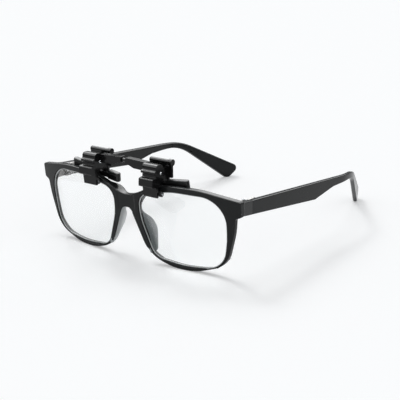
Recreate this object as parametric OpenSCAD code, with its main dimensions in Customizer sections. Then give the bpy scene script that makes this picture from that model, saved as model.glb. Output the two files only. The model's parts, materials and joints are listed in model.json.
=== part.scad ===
// Spectacles standing on their rims and temple tips, with a twin spring clamp
// carrier clipped over the top of the rim, above the bridge.
// Millimetres. +X towards the wearer's left, +Y back to the head, +Z up.

/* [Front] */
// Width of one lens opening
lens_w = 51.8; // [50:0.5:54]
// Height of one lens opening
lens_h = 40.4; // [38:0.5:43]
// Distance between the two lens openings
bridge_w = 17.8; // [16:0.5:19]
// Distance from a lens opening out to the front corner
corner_out = 8.3; // [7.5:0.1:9]
// Depth of the rim from its front face to its back face
rim_depth = 3.2; // [3:0.1:3.8]
// Height of the rim under the lens
rim_low = 2.5; // [2.2:0.1:3.2]
// Height of the rim over the lens
rim_top = 3.3; // [3:0.1:4]
// Width of the rim beside the nose
rim_nose = 3.7; // [3.2:0.1:4]
// Radius of the wrap of the front
wrap_r = 295; // [280:5:330]
// Forward lean of the front in degrees
front_lean = 5.7; // [4:0.1:7]
// Drop of the saddle under the top of the lens openings
saddle_drop = 6.1; // [5:0.1:7]
// Height of the saddle over the arch of the nose
saddle_h = 7.2; // [6.5:0.1:8]
// Width of the arch over the nose
arch_w = 5.8; // [5:0.1:6.5]

/* [Lenses] */
// Thickness of a lens
lens_t = 2.0; // [1.6:0.1:2.2]
// Depth of the groove that holds the lens edge
groove = 0.6; // [0.4:0.1:0.9]
// Slack between the lens edge and its groove
lens_slack = 0.04; // [0.02:0.01:0.1]

/* [Nose pads] */
// Length of a nose pad along the rim
pad_len = 25.5; // [22:0.5:26]
// Reach of a nose pad behind the rim
pad_reach = 7.6; // [6:0.1:8]
// Thickness of a nose pad
pad_t = 2.3; // [1.8:0.1:2.6]
// Outward lean of a nose pad in degrees
pad_lean = 14; // [10:1:16]

/* [End pieces and hinges] */
// Distance from the front plane back to the temple joint
joint_y = 16.95; // [15:0.05:19]
// Gap between the end piece and the temple
joint_gap = 0.3; // [0.3:0.05:0.5]
// Height of the temple at the joint
temple_h = 7.7; // [7.5:0.1:9]
// Drop of the top edge at the joint under the top of the lens openings
temple_drop = 2.5; // [2:0.1:3.5]
// Thickness of the temple at the joint
temple_t = 3.5; // [3:0.1:4]
// How far the end piece tapers in from the front corner
end_taper = 1.2; // [0.8:0.1:1.8]
// Radius of the hinge knuckles
knuckle_r = 1.5; // [1.4:0.05:1.7]
// Height of one hinge knuckle
knuckle_h = 1.1; // [1:0.05:1.2]
// Gap between two knuckles
knuckle_gap = 0.2; // [0.15:0.05:0.3]
// Gap between a knuckle and what turns past it
swing_gap = 0.3; // [0.25:0.05:0.5]
// Radius of the hinge screw
screw_r = 0.7; // [0.6:0.05:0.8]
// Running clearance of the screw in the temple's knuckles
screw_run = 0.05; // [0.03:0.01:0.1]
// Length of a hinge leaf
leaf_len = 6; // [5:0.5:7]
// Thickness of a hinge leaf
leaf_t = 1.2; // [1:0.1:1.3]

/* [Temples] */
// Fall of the top edge in degrees
temple_fall = 4.7; // [3.5:0.1:5.5]
// Distance from the joint to the corner under the deep part
deep_at = 62.5; // [50:0.5:70]
// Height of the temple over that corner
deep_h = 10; // [9:0.1:11]
// Distance from the joint to the slim neck
neck_at = 95; // [88:0.5:98]
// Height of the slim neck
neck_h = 4.3; // [4:0.1:5]
// Distance from the joint to the bend
bend_at = 112.5; // [110:0.5:118]
// Length of the tip behind the bend
tip_len = 51.3; // [50:0.1:53]
// Fall of the tip's top edge in degrees
tip_fall = 28.8; // [28:0.1:30]
// Radius of the bend's top edge
bend_r = 22; // [15:1:28]
// Distance from the joint to the inward curve, seen from above
curl_at = 100; // [95:0.5:105]
// Inward turn of the tip in degrees
curl = 20; // [16:0.5:22]
// Outward splay of the straight part in degrees
splay = 1.55; // [1:0.05:2]
// Thickness of the temple tip
tip_t = 2.9; // [2.4:0.1:3.2]

/* [Clamps] */
// Distance of each clamp from the middle
unit_x = 21; // [20:0.5:23]
// Width of the front lever
lever_w = 9; // [8:0.1:9.4]
// Distance of the clamp's axle in front of the front plane
axle_y = -4.2; // [-4.6:0.1:-4]
// Height of the axle over the lens opening's top
axle_up = 9.7; // [9.3:0.1:10.4]
// Radius of the axle
axle_r = 0.8; // [0.6:0.05:0.9]
// Running clearance of the axle in the lever's cheeks
axle_run = 0.05; // [0.03:0.01:0.1]
// Thickness of a lever's cheek
cheek_t = 1.4; // [1.1:0.1:1.6]
// Thickness of the carrier's ears
ear_t = 1.0; // [0.8:0.1:1.2]
// Gap between the ears and the lever
ear_gap = 0.3; // [0.25:0.05:0.5]
// Radius of the ears round the axle
ear_r = 2.3; // [2:0.1:2.4]
// Width of the back plate
plate_w = 14.6; // [13.6:0.1:15]
// Distance of the back plate behind the axle
plate_back = 6.5; // [6.3:0.1:7.5]
// Thickness of the back plate
plate_t = 1.4; // [1.2:0.1:1.8]
// Radius of the rolled top of the back plate
roll_r = 1.4; // [1.2:0.1:1.6]
// Gap between the rim and the jaws
jaw_gap = 0.4; // [0.3:0.05:0.6]
// Length of the jaw bar behind the rim
bar_len = 28.6; // [27:0.1:30]
// Extra length of the jaw bar on the wearer's right
bar_more = 5.2; // [4:0.1:6]
// Height of the jaw bar
bar_h = 3.4; // [3.2:0.1:3.8]
// Depth of the jaw bar
bar_d = 2.8; // [2.4:0.1:3.2]
// Rise of the jaw bar towards its outer end in degrees
bar_rise = 5.5; // [4.5:0.5:7]
// Thickness of the rubber caps on the jaw bar
cap_t = 0.45; // [0.3:0.05:0.6]
// Length of the rubber cap on the bar's inner end
cap_len = 6.2; // [5:0.1:6.5]
// Radius of the rubber roller on the front jaw
roller_r = 1.4; // [1.2:0.1:1.5]
// Radius of the pin in that roller
roller_pin_r = 0.5; // [0.4:0.05:0.6]

/* [Springs] */
// Radius of the spring wire
wire_r = 0.22; // [0.18:0.01:0.26]
// Mean radius of the spring's coil
coil_r = 1.4; // [1.3:0.05:1.5]
// Turns of the spring
coil_turns = 4; // [3:1:4]
// Pitch of the spring
coil_pitch = 0.64; // [0.6:0.01:0.68]

/* [Bridge] */
// Gap between the two halves of the bridge
bridge_gap = 3.4; // [3:0.1:5]
// Depth of the bridge halves
bar_depth = 3.5; // [3.2:0.1:4]
// Height of a bridge half at the middle
bar_mid_h = 3.4; // [3.2:0.1:4]
// Height of a bridge half at the clamp
bar_end_h = 4.8; // [4:0.1:5.5]
// Radius of the guide pin
guide_r = 1.0; // [0.8:0.05:1.1]
// Running clearance of the guide pin
guide_run = 0.06; // [0.03:0.01:0.1]
// Length of the guide pin in each half
guide_in = 8; // [6:0.5:9]

/* [Hidden] */
$fa = 1;
$fs = 0.3;
far = 400;
black = [0.07, 0.07, 0.08];
steel = [0.75, 0.76, 0.78];
rubber = [0.16, 0.16, 0.17];

// The lens opening's box, on the +X side.
open_x0 = bridge_w / 2;
open_x1 = open_x0 + lens_w;
open_z0 = rim_low;
open_z1 = rim_low + lens_h;
corner_x = open_x1 + corner_out;
saddle_z = open_z1 - saddle_drop;
arch_z = saddle_z - saddle_h;
temple_top = open_z1 - temple_drop;

// The end piece and the hinge.
end_x = corner_x - end_taper;
inner_x = end_x - temple_t;
temple_y = joint_y + joint_gap / 2;
end_y = joint_y - joint_gap / 2;
temple_low = temple_top - temple_h;
pivot_x = inner_x - knuckle_r - swing_gap;
hinge_h = 5 * knuckle_h + 4 * knuckle_gap;
hinge_z = (temple_top + temple_low - hinge_h) / 2;
leaf_gap = knuckle_r + swing_gap + 0.05;
leaf_y = joint_y - leaf_gap - leaf_len;

// The clamp.
axle_z = open_z1 + axle_up;
pocket_w = lever_w - 2 * cheek_t;
pocket_r = ear_r + ear_gap + 0.1;
plate_y = axle_y + plate_back;
plate_mid = -1.0;
roll_z = axle_z + 4.3;
arm_w = 8;
bar_in = unit_x - 12.1;
roller_z = open_z1 - 1.1;
roller_yaw = atan((face_y(unit_x + 4, 0) - face_y(unit_x - 4, 0)) / 8);
roller_y = face_y(unit_x, roller_z) - jaw_gap - roller_r - 0.05;
bar_top = axle_z + 4.9;
bar_out = unit_x - lever_w / 2 - 0.6;
guide_y = axle_y - 0.2 + bar_depth / 2;
guide_z = bar_top - bar_mid_h / 2 - 0.05;

// The middle of the whole depth lies over the origin.
stand_y = -(min([for (p = rounded(lever_side(), 5)) p.x])
    + max([for (p = rounded(temple_side(), 8)) p.x])) / 2;

// How far the front's face and its back lie behind the front plane.
function face_y(x, z) = bowl_y(x, 0) / cos(front_lean) - z * tan(front_lean);
function back_y(x, z) = bowl_y(x, rim_depth) / cos(front_lean) - z * tan(front_lean);
function bowl_y(x, deep) = wrap_r - sqrt(pow(wrap_r - deep, 2) - x * x);

// Outlines: each corner is [across, up, radius], listed anticlockwise.
function unit(a) = a / norm(a);
function flat(v) = [v[0], v[1]];
function corner(p, q, s, r, n) =
    let (
        u = unit(p - q),
        w = unit(s - q),
        half = acos(max(-1, min(1, u * w))) / 2,
        c = q + unit(u + w) * r / sin(half),
        a = q + u * r / tan(half) - c,
        b = q + w * r / tan(half) - c,
        start = atan2(a.y, a.x),
        d = atan2(b.y, b.x) - start,
        sweep = d > 180 ? d - 360 : d < -180 ? d + 360 : d
    )
    [for (i = [0:n]) c + r * [cos(start + sweep * i / n), sin(start + sweep * i / n)]];
function rounded(v, n = 6) = [
    for (i = [0:len(v) - 1])
        each corner(flat(v[(i + len(v) - 1) % len(v)]), flat(v[i]),
            flat(v[(i + 1) % len(v)]), max(v[i][2], 0.05), n)
];
function side_out(p, q) = [unit(q - p).y, -unit(q - p).x];
function grown(v, d) = [
    for (i = [0:len(v) - 1])
        let (
            p = flat(v[(i + len(v) - 1) % len(v)]),
            q = flat(v[i]),
            s = flat(v[(i + 1) % len(v)]),
            a = side_out(p, q),
            b = side_out(q, s),
            m = (a + b) * d / (1 + a * b)
        )
        [q.x + m.x, q.y + m.y, v[i][2] + (cross(q - p, s - q) > 0 ? d : -d)]
];
function mirrored(v) = [for (i = [len(v) - 1:-1:0]) [-v[i][0], v[i][1], v[i][2]]];

function lens_outline() = [
    [open_x0 + 0.143 * lens_w, open_z0 + 0.04 * lens_h, 0.17 * lens_w],
    [open_x0 + 0.51 * lens_w, open_z0 - 0.4, 1.1 * lens_w],
    [open_x1 - 2.9, open_z0 + 0.04 * lens_h, 0.24 * lens_w],
    [open_x1, open_z0 + 0.44 * lens_h, 50],
    [open_x1 + 0.5, open_z1 - 0.1, 0.35 * lens_h],
    [open_x0 + 0.4 * lens_w, open_z1 + 0.2, 0.8 * lens_w],
    [open_x0 - 0.3, open_z0 + 0.893 * lens_h, 0.2 * lens_h],
    [open_x0 - 0.1, open_z0 + 0.556 * lens_h, 0.74 * lens_h]
];

function half_front() = [
    [arch_w / 2, arch_z, 3.2],
    [open_x0 + 0.143 * lens_w + 0.3 - rim_nose, open_z0 + 2.4, 0.35 * lens_w],
    [open_x0 + 0.5 * lens_w, -2.45, 0.74 * lens_w],
    [open_x1 - 1.1, open_z0 + 3.5, 14],
    [open_x1 + 4.1, open_z0 + 22.5, 40],
    [open_x1 + 5, temple_low + 0.3, 1.6],
    [corner_x, temple_low + 1.7, 1.2],
    [corner_x, temple_top + 2.1, 2.2],
    [open_x1 - 14.5, open_z1 + rim_top, 60],
    [open_x0 + 15.2, open_z1 + rim_top - 0.2, 28],
    [open_x0 + 3.6, open_z1 - 1.4, 10]
];

function front_outline() = concat(half_front(), [[0, saddle_z - 1.4, 16]], mirrored(half_front()));

// A slice of the curved and leaning front, between two depths behind its face.
module front_slice(near, deep) {
    rotate([front_lean, 0, 0])
        translate([0, wrap_r, -60])
            difference() {
                cylinder(h = 180, r = wrap_r - near);
                translate([0, 0, -1])
                    cylinder(h = 182, r = wrap_r - deep);
            }
}

// Draws an upright outline through the depth of the front.
module upright(v, n = 6) {
    translate([0, 30, 0])
        rotate([90, 0, 0])
            linear_extrude(height = 60)
                polygon(rounded(v, n));
}

// Draws an outline of [back, up, radius] corners across a width in X.
module across(v, x0, x1, n = 6) {
    translate([x0, 0, 0])
        rotate([90, 0, 90])
            linear_extrude(height = x1 - x0)
                polygon(rounded(v, n));
}

// The object stands on the plane at zero height.
module above_floor() {
    intersection() {
        children();
        translate([-far / 2, -far / 2, 0])
            cube([far, far, far]);
    }
}

module on_side(side) {
    if (side > 0) children();
    else mirror([1, 0, 0]) children();
}

// Everything is drawn from the front plane and then set over the middle of its depth.
module placed(side) {
    translate([0, stand_y, 0])
        on_side(side)
            children();
}

module end_piece() {
    intersection() {
        linear_extrude(height = 60)
            polygon(rounded([
                [inner_x - 3.3, leaf_y - 4.6, 0.1],
                [corner_x, 5, 0.1],
                [end_x, end_y, 0.3],
                [inner_x, end_y, 0.3],
                [inner_x, leaf_y - 1.3, 2],
                [inner_x - 3.3, leaf_y - 3.5, 0.1]
            ]));
        across([
            [4.4, temple_low + 2.2, 0.1],
            [end_y, temple_low + 0.1, 0.2],
            [end_y, temple_top, 0.3],
            [4.4, temple_top + 1.8, 0.1]
        ], inner_x - 4, corner_x + 1);
    }
}

module frame_front() {
    color(black)
        placed(1)
            above_floor()
                difference() {
                    union() {
                        intersection() {
                            front_slice(0, rim_depth);
                            upright(front_outline());
                        }
                        end_piece();
                        mirror([1, 0, 0])
                            end_piece();
                    }
                    for (s = [1, -1])
                        on_side(s) {
                            upright(lens_outline());
                            intersection() {
                                front_slice((rim_depth - lens_t) / 2 - lens_slack,
                                    (rim_depth + lens_t) / 2 + lens_slack);
                                upright(grown(lens_outline(), groove + lens_slack));
                            }
                        }
                }
}

module lens(side) {
    color([0.85, 0.9, 0.95, 0.35])
        placed(side)
            intersection() {
                front_slice((rim_depth - lens_t) / 2, (rim_depth + lens_t) / 2);
                upright(grown(lens_outline(), groove));
            }
}

// A fin-shaped pad behind the nose side of the rim, cut to the rim's back.
module nose_pad(side) {
    low = [open_x0 + 0.143 * lens_w - 1.4, open_z0 + 3.1];
    high = [arch_w / 2 + 2.2, arch_z - 1.2];
    tilt = atan((low.x - high.x) / (high.y - low.y));
    mid = (low + high) / 2;
    color([0.62, 0.64, 0.66])
        placed(side)
            difference() {
                translate([mid.x, back_y(mid.x, mid.y) - 1, mid.y])
                    rotate([0, -tilt, 0])
                        rotate([0, 0, -pad_lean])
                            across([
                                [-1, -pad_len / 2, 0.8],
                                [0.3 * pad_reach + 1, -0.47 * pad_len, 1.6],
                                [0.8 * pad_reach + 1, -0.1 * pad_len, 9],
                                [pad_reach + 1.4, 0.17 * pad_len, 4],
                                [0.75 * pad_reach + 1, 0.42 * pad_len, 3],
                                [-1, pad_len / 2, 0.8]
                            ], -pad_t / 2, pad_t / 2, 5);
                front_slice(-9, rim_depth);
            }
}

// Knuckles are counted from below; the front has 0, 2 and 4, the temple 1 and 3.
module knuckle(i) {
    z = hinge_z + i * (knuckle_h + knuckle_gap);
    translate([pivot_x, joint_y, z])
        cylinder(h = knuckle_h, r = knuckle_r);
}

module knuckle_web(i, back) {
    z = hinge_z + i * (knuckle_h + knuckle_gap);
    deep = leaf_gap + 0.8;
    translate([pivot_x - knuckle_r + 0.4, joint_y - (back ? 0 : deep), z])
        cube([inner_x - pivot_x + knuckle_r - 0.4 - leaf_t / 2, deep, knuckle_h]);
}

module hinge_leaf(count, back, bore) {
    y0 = back ? joint_y + leaf_gap : leaf_y;
    web_x = inner_x - pivot_x + knuckle_r - 0.4;
    difference() {
        union() {
            translate([inner_x - leaf_t, y0, hinge_z])
                cube([leaf_t, leaf_len, hinge_h]);
            for (i = count) {
                knuckle(i);
                difference() {
                    knuckle_web(i, back);
                    translate([pivot_x + 0.5, joint_y - leaf_gap, hinge_z - 1])
                        cube([web_x, 2 * leaf_gap, hinge_h + 2]);
                }
            }
        }
        translate([pivot_x, joint_y, hinge_z - 1])
            cylinder(h = hinge_h + 2, r = bore);
    }
}

module hinge_front(side) {
    color(steel)
        placed(side)
            hinge_leaf([0, 2, 4], false, screw_r + 0.02);
}

module hinge_temple(side) {
    color(steel)
        placed(side)
            hinge_leaf([1, 3], true, screw_r + screw_run);
}

module hinge_screw(side) {
    top = hinge_z + hinge_h;
    color(steel)
        placed(side)
            translate([pivot_x, joint_y, 0])
                difference() {
                    union() {
                        translate([0, 0, hinge_z - 0.2])
                            cylinder(h = hinge_h + 0.2, r = screw_r);
                        translate([0, 0, top])
                            cylinder(h = 0.6, r = screw_r + 0.5);
                    }
                    translate([-2, -0.15, top + 0.3])
                        cube([4, 0.3, 1]);
                }
}

// The temple's outline from the side.
function temple_edge(at) = temple_top - at * tan(temple_fall);
function temple_side() =
    let (
        bend = [temple_y + bend_at, temple_edge(bend_at)],
        tip = bend + tip_len * [cos(tip_fall), -sin(tip_fall)],
        drop = neck_at + 16.2
    )
    [
        [temple_y, temple_low, 0.3],
        [temple_y + deep_at, temple_edge(deep_at) - deep_h, 1.5],
        [temple_y + deep_at + 20, temple_edge(deep_at + 20) - neck_h - 1, 18],
        [temple_y + drop, temple_edge(drop) - neck_h + 1.2, 16],
        [tip.x - 9.6, -1.2, 3.5],
        [tip.x, tip.y, 3.4],
        [bend.x, bend.y, bend_r],
        [temple_y, temple_top, 0.3]
    ];

// The temple is its side outline crossed with its outline from above.
module temple(side) {
    curl_x = end_x + curl_at * tan(splay);
    color(black)
        placed(side)
            above_floor()
                intersection() {
                    across(temple_side(), 20, 90, 8);
                    linear_extrude(height = 60)
                        polygon(rounded([
                            [inner_x, temple_y, 0.3],
                            [end_x, temple_y, 0.3],
                            [curl_x, temple_y + curl_at, 24],
                            [curl_x - 70 * tan(curl), temple_y + curl_at + 70, 1],
                            [curl_x - 70 * tan(curl) - tip_t / cos(curl), temple_y + curl_at + 70, 1],
                            [curl_x - tip_t, temple_y + curl_at - 1, 21],
                            [inner_x, temple_y + leaf_gap + leaf_len + 2, 30]
                        ], 8));
                }
}

// The jaw bar of each side lies along the rim's back; half is half its length.
function bar_half(side) = (bar_len + (side > 0 ? 0 : bar_more)) / 2;
function bar_x(side) = bar_in + bar_half(side);
function bar_z(side) = open_z1 + 2.1 + (bar_x(side) - unit_x - 2.6) * tan(bar_rise);
function bar_end(side) = bar_x(side) + bar_half(side);
function bar_back(side, end) =
    let (reach = end * (bar_half(side) + cap_t))
    back_y(bar_x(side) + reach, bar_z(side) + reach * tan(bar_rise));
function bar_yaw(side) = atan((bar_back(side, 1) - bar_back(side, -1)) / (2 * bar_half(side)));
function bar_y(side) = (bar_back(side, 1) + bar_back(side, -1)) / 2 + jaw_gap + cap_t + bar_d / 2;

module jaw_bar_place(side) {
    translate([bar_x(side), bar_y(side), bar_z(side)])
        rotate([front_lean, -bar_rise, bar_yaw(side)])
            children();
}

function slab_outline(d, h, r) = [
    [-d / 2, -h / 2, r], [d / 2, -h / 2, r], [d / 2, h / 2, r], [-d / 2, h / 2, r]
];

// The back half of a clamp: plate, rolled top, ears and the jaw bar's core.
// The plate stands off to the same way on both clamps.
module rear_lever(side) {
    x0 = unit_x + side * plate_mid - plate_w / 2;
    boss_x = side > 0 ? x0 + plate_w - 2.4 : x0;
    arm_low = bar_z(side) - 0.1 * bar_h;
    color(black)
        placed(side)
            difference() {
                union() {
                    translate([x0, plate_y, axle_z - 3.6])
                        cube([plate_w, plate_t, roll_z - axle_z + 3.6]);
                    translate([x0, plate_y + roll_r - 0.2, roll_z])
                        rotate([0, 90, 0])
                            cylinder(h = plate_w, r = roll_r);
                    translate([boss_x, plate_y + roll_r - 0.2, roll_z])
                        rotate([0, 90, 0])
                            cylinder(h = 2.4, r = roll_r + 0.4);
                    for (s = [-1, 1]) {
                        x = unit_x + s * (pocket_w / 2 - ear_gap - ear_t / 2) - ear_t / 2;
                        translate([x, axle_y, axle_z])
                            rotate([0, 90, 0])
                                cylinder(h = ear_t, r = ear_r);
                        translate([x, axle_y, axle_z - 1.9])
                            cube([ear_t, plate_back + 0.2, 3.5]);
                    }
                    // The arm runs from the plate down to the jaw bar.
                    translate([unit_x - arm_w / 2, plate_y, arm_low])
                        cube([arm_w, plate_t, axle_z - 3.4 - arm_low]);
                    jaw_bar_place(side)
                        across(slab_outline(bar_d, bar_h, 0.9), -bar_half(side), bar_half(side), 4);
                }
                translate([unit_x - lever_w, axle_y, axle_z])
                    rotate([0, 90, 0])
                        cylinder(h = 2 * lever_w, r = axle_r + 0.02);
            }
}

// A rubber cap over one end of the jaw bar; end is 1 for the long outer cap,
// which stops short of the arm.
module jaw_cap(side, end) {
    half = bar_half(side);
    long = end > 0 ? bar_end(side) - unit_x - arm_w / 2 - 0.5 : cap_len;
    color(rubber)
        placed(side)
            jaw_bar_place(side)
                mirror([end > 0 ? 0 : 1, 0, 0])
                    difference() {
                        across(slab_outline(bar_d + 2 * cap_t, bar_h + 2 * cap_t, 1.2),
                            half - long, half + cap_t, 4);
                        across(slab_outline(bar_d + 0.04, bar_h + 0.04, 0.92),
                            half - long - 1, half + 0.02, 4);
                    }
}

// The front lever's outline from the side: barrel, thin rib, wide rib and hook.
function lever_side() =
    let (ay = axle_y, az = axle_z, hook = roller_z - 1.7, hy = roller_y - roller_r)
    [
        [ay + 1.2, az + 4.6, 2.2],
        [ay - 3.9, az + 5.2, 1.9],
        [ay - 4.0, az + 1.9, 1],
        [ay - 5.2, az + 1.6, 0.4],
        [ay - 5.3, az + 0.4, 0.4],
        [ay - 3.9, az - 0.1, 0.4],
        [ay - 4.1, az - 1.8, 0.4],
        [ay - 7.0, az - 1.9, 0.9],
        [ay - 7.3, az - 6.3, 0.8],
        [ay - 4.2, az - 6.8, 0.3],
        [hy - 1.0, hook, 0.4],
        [hy + 0.15, hook, 0.3],
        [hy + 0.2, roller_z + 2.4, 0.6],
        [ay - 1.0, az - 5.2, 1.2],
        [ay + 2.6, az - 3.4, 1.4],
        [ay + 3.2, az + 0.8, 2.4]
    ];

module front_lever(side) {
    x0 = unit_x - lever_w / 2;
    x1 = unit_x + lever_w / 2;
    ay = axle_y;
    az = axle_z;
    color(black)
        placed(side)
            difference() {
                across(lever_side(), x0, x1, 5);
                // The pocket takes the ears and the spring.
                translate([unit_x - pocket_w / 2, ay, az])
                    rotate([0, 90, 0])
                        cylinder(h = pocket_w, r = pocket_r);
                translate([unit_x - pocket_w / 2, ay, az - pocket_r + 0.2])
                    cube([pocket_w, 6, 8]);
                translate([unit_x - pocket_w / 2, ay + 0.6, az - 6])
                    cube([pocket_w, 6, 8]);
                // The groove takes the roller.
                roller_place()
                    rotate([0, 90, 0])
                        cylinder(h = 4 * lever_w, r = roller_r + 0.02, center = true);
                translate([x0 - 1, ay, az])
                    rotate([0, 90, 0])
                        cylinder(h = lever_w + 2, r = axle_r + axle_run);
            }
}

module roller_place() {
    translate([unit_x, roller_y, roller_z])
        rotate([0, 0, roller_yaw])
            children();
}

module jaw_roller(side) {
    color(rubber)
        placed(side)
            roller_place()
                translate([-lever_w / 2, 0, 0])
                    rotate([0, 90, 0])
                        difference() {
                            cylinder(h = lever_w + 1.3, r = roller_r);
                            translate([0, 0, -1])
                                cylinder(h = lever_w + 4, r = roller_pin_r + 0.02);
                        }
}

module roller_pin(side) {
    color(steel)
        placed(side)
            roller_place()
                translate([-lever_w / 2 - 0.15, 0, 0])
                    rotate([0, 90, 0])
                        cylinder(h = lever_w + 1.6, r = roller_pin_r);
}

module axle(side) {
    color(steel)
        placed(side)
            translate([unit_x - lever_w / 2 - 0.3, axle_y, axle_z])
                rotate([0, 90, 0])
                    cylinder(h = lever_w + 0.6, r = axle_r);
}

// A torsion spring: one tube along a coil round the axle, with a leg at each end.
module torsion_spring(side) {
    rings = 8;
    sides = 6;
    count = rings * coil_turns;
    coil = [
        for (i = [0:count])
            let (a = -90 + 360 * i / rings)
            [[(i / rings - coil_turns / 2) * coil_pitch, coil_r * cos(a), coil_r * sin(a)], a]
    ];
    path = concat(
        [[coil[0][0] - [0, 1.6, 0], -90]],
        coil,
        [[coil[count][0] + [0, plate_back - wire_r - 0.35, 0], -90]]
    );
    points = [
        for (p = path)
            for (j = [0:sides - 1])
                let (f = 360 * j / sides)
                p[0] + wire_r * (cos(f) * [0, cos(p[1]), sin(p[1])] + sin(f) * [1, 0, 0])
    ];
    last = len(path) - 1;
    faces = concat(
        [[for (j = [0:sides - 1]) j]],
        [[for (j = [sides - 1:-1:0]) last * sides + j]],
        [
            for (i = [0:last - 1])
                for (j = [0:sides - 1])
                    let (k = (j + 1) % sides, a = i * sides, b = a + sides)
                    each [[a + j, b + j, b + k], [a + j, b + k, a + k]]
        ]
    );
    color(steel)
        placed(side)
            translate([unit_x, axle_y, axle_z])
                polyhedron(points, faces, convexity = 10);
}

// Half of the bridge; the guide pin is fast in the left half and slides in the right.
module bridge_bar(side) {
    run = side > 0 ? guide_run : 0.02;
    x0 = bridge_gap / 2;
    color(black)
        placed(side)
            difference() {
                union() {
                    translate([0, axle_y - 0.2 + bar_depth, 0])
                        rotate([90, 0, 0])
                            linear_extrude(height = bar_depth)
                                polygon(rounded([
                                    [x0, bar_top - bar_mid_h, 0.3],
                                    [x0 + 1.5, bar_top - bar_mid_h, 1.5],
                                    [x0 + 5.5, bar_top - bar_end_h - 0.1, 2],
                                    [bar_out, bar_top - bar_end_h - 0.4, 0.3],
                                    [bar_out, bar_top - 0.5, 0.3],
                                    [x0, bar_top, 0.3]
                                ], 4));
                    translate([bar_out - 2.2, axle_y - 0.4 + bar_depth, bar_top - bar_end_h])
                        cube([2.2, plate_y - axle_y + 0.4 - bar_depth, bar_end_h - 2.6]);
                }
                translate([-1, guide_y, guide_z])
                    rotate([0, 90, 0])
                        cylinder(h = x0 + guide_in + 3, r = guide_r + run);
            }
}

module guide_pin() {
    long = bridge_gap + 2 * guide_in;
    color(steel)
        placed(1)
            translate([-long / 2, guide_y, guide_z])
                rotate([0, 90, 0])
                    cylinder(h = long, r = guide_r);
}

frame_front();
lens(1);  // lens_right
lens(-1);  // lens_left
nose_pad(1);  // nose_pad_right
nose_pad(-1);  // nose_pad_left
hinge_front(1);  // hinge_front_right
hinge_front(-1);  // hinge_front_left
hinge_screw(1);  // hinge_screw_right
hinge_screw(-1);  // hinge_screw_left
temple(1);  // temple_right
temple(-1);  // temple_left
hinge_temple(1);  // hinge_temple_right
hinge_temple(-1);  // hinge_temple_left
rear_lever(1);  // rear_lever_right
rear_lever(-1);  // rear_lever_left
front_lever(1);  // front_lever_right
front_lever(-1);  // front_lever_left
axle(1);  // axle_right
axle(-1);  // axle_left
torsion_spring(1);  // torsion_spring_right
torsion_spring(-1);  // torsion_spring_left
jaw_cap(1, 1);  // jaw_cap_out_right
jaw_cap(-1, 1);  // jaw_cap_out_left
jaw_cap(1, -1);  // jaw_cap_in_right
jaw_cap(-1, -1);  // jaw_cap_in_left
jaw_roller(1);  // jaw_roller_right
jaw_roller(-1);  // jaw_roller_left
roller_pin(1);  // roller_pin_right
roller_pin(-1);  // roller_pin_left
bridge_bar(1);  // bridge_bar_right
bridge_bar(-1);  // bridge_bar_left
guide_pin();
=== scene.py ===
"""Looks of black spectacles that carry a twin spring clamp on the top of their rim.

Sizes are in millimetres, measured from the front plane of the spectacles, and every piece
is scaled to metres and set over the middle of its depth when it is finished.
"""

import json
import logging
import math
from dataclasses import dataclass, field
from enum import Enum
from typing import Callable, Iterable, Optional, Sequence

import bmesh
import bpy
from mathutils import Matrix, Vector

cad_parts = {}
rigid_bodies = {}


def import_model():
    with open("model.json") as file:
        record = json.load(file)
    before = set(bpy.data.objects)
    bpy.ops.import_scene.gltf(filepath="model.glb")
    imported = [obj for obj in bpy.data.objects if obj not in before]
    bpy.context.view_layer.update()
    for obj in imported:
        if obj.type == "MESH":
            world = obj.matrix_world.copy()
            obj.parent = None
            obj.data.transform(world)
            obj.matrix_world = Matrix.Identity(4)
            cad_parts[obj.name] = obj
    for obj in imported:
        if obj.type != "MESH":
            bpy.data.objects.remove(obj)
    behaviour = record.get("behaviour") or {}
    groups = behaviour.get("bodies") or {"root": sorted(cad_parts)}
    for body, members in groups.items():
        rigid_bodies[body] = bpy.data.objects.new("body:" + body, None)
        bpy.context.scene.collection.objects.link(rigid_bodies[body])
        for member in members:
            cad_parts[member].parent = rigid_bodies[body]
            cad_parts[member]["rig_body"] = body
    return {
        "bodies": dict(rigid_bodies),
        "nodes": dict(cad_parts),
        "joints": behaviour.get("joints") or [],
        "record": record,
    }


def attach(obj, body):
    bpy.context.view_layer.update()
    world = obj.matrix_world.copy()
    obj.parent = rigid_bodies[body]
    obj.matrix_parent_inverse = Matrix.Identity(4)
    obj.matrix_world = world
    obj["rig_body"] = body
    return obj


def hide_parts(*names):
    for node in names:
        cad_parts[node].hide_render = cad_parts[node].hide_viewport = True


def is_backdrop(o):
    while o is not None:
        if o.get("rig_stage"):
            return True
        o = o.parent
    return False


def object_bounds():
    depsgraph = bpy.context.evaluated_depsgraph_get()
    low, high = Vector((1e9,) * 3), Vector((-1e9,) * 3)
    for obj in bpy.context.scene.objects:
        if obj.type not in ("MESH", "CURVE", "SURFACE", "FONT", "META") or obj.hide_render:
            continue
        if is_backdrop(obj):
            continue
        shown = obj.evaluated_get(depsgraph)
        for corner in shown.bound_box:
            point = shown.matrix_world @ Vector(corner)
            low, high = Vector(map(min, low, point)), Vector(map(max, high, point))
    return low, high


log = logging.getLogger("spectacles")

MM = 0.001
STAND_Y = -80.1891  # Moves the front plane so that the origin is under the middle.
ACROSS, BACK, UP = Vector((1, 0, 0)), Vector((0, 1, 0)), Vector((0, 0, 1))
SAME = 1e-4  # Points that are nearer to each other than this are one point.
LEAST_RADIUS = 0.05
ARC_STEP = 4  # Degrees of a corner's arc for each step.


class Side(Enum):
    """The side of the middle that a piece is on, as the sign of its place across."""

    RIGHT = 1
    LEFT = -1

    @property
    def tag(self) -> str:
        """Returns the word that ends the names of this side's nodes."""
        return self.name.lower()


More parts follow.
